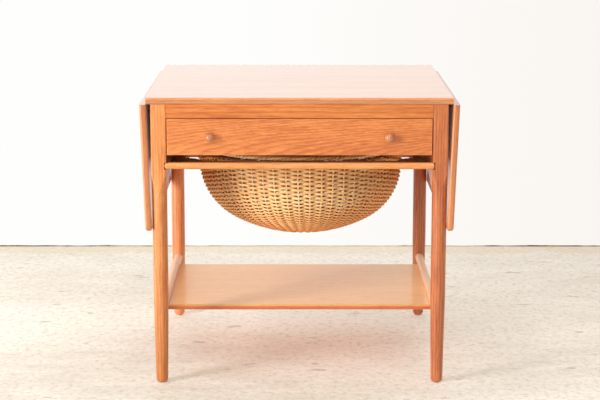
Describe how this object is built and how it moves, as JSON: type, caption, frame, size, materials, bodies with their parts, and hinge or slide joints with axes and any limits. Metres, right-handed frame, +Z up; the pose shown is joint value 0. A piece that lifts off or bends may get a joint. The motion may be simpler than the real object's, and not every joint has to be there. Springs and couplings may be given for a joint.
{
  "type": "drop-leaf sewing table",
  "caption": "Sewing table on turned legs with hinged drop leaves, a shallow knobbed drawer, a round wicker basket on a pull-out frame and a lower shelf.",
  "frame": {"origin": "on the floor under the middle of the outline, knobs included, with the leaves down", "axes": "+X to the right across the front, +Y from the drawer front to the back, +Z up"},
  "size_m": [0.67, 0.596, 0.62],
  "materials": {
    "oiled_wood": "oiled satin",
    "inner_wood": "plain planed",
    "wicker": "woven cane",
    "brass": "satin"
  },
  "bodies": {
    "frame": {"back_apron": "oiled_wood", "basket_runner_left": "inner_wood", "basket_runner_right": "inner_wood", "drawer_runner_left": "inner_wood", "drawer_runner_right": "inner_wood", "front_rail": "oiled_wood", "hinge_left_pins": "brass", "hinge_left_top_plates": "brass", "hinge_right_pins": "brass", "hinge_right_top_plates": "brass", "leg_back_left": "oiled_wood", "leg_back_right": "oiled_wood", "leg_front_left": "oiled_wood", "leg_front_right": "oiled_wood", "loper_back_left": "inner_wood", "loper_back_right": "inner_wood", "loper_front_left": "inner_wood", "loper_front_right": "inner_wood", "loper_guides_back": "inner_wood", "loper_guides_front": "inner_wood", "shelf": "oiled_wood", "shelf_dowels": "inner_wood", "side_apron_left": "oiled_wood", "side_apron_right": "oiled_wood", "stretcher_left": "oiled_wood", "stretcher_right": "oiled_wood", "top_panel": "oiled_wood"},
    "leaf_left": {"leaf_left": "oiled_wood", "hinge_left_leaf_plates": "brass"},
    "leaf_right": {"leaf_right": "oiled_wood", "hinge_right_leaf_plates": "brass"},
    "drawer": {"drawer_front": "oiled_wood", "drawer_side_left": "inner_wood", "drawer_side_right": "inner_wood", "drawer_back": "inner_wood", "drawer_bottom": "inner_wood", "drawer_divider_long": "inner_wood", "drawer_divider_left": "inner_wood", "drawer_divider_right": "inner_wood", "spool_rack": "inner_wood", "spool_pegs": "inner_wood", "knob_left": "oiled_wood", "knob_right": "oiled_wood"},
    "basket": {"basket_slide_left": "oiled_wood", "basket_slide_right": "oiled_wood", "basket_front_member": "oiled_wood", "basket_back_member": "oiled_wood", "pull_rod": "oiled_wood", "basket_bowl": "wicker", "basket_rim": "wicker"}
  },
  "joints": [
    {"name": "leaf_left_hinge", "type": "hinge", "parent": "frame", "child": "leaf_left", "pos_m": [-0.321, 0, 0.606], "axis": [0, 1, 0], "range_deg": [0, 92]},
    {"name": "leaf_right_hinge", "type": "hinge", "parent": "frame", "child": "leaf_right", "pos_m": [0.321, 0, 0.606], "axis": [0, -1, 0], "range_deg": [0, 92]},
    {"name": "drawer_slide", "type": "slide", "parent": "frame", "child": "drawer", "axis": [0, -1, 0], "range_m": [0, 0.38]},
    {"name": "basket_slide", "type": "slide", "parent": "frame", "child": "basket", "axis": [0, -1, 0], "range_m": [0, 0.36]}
  ]
}
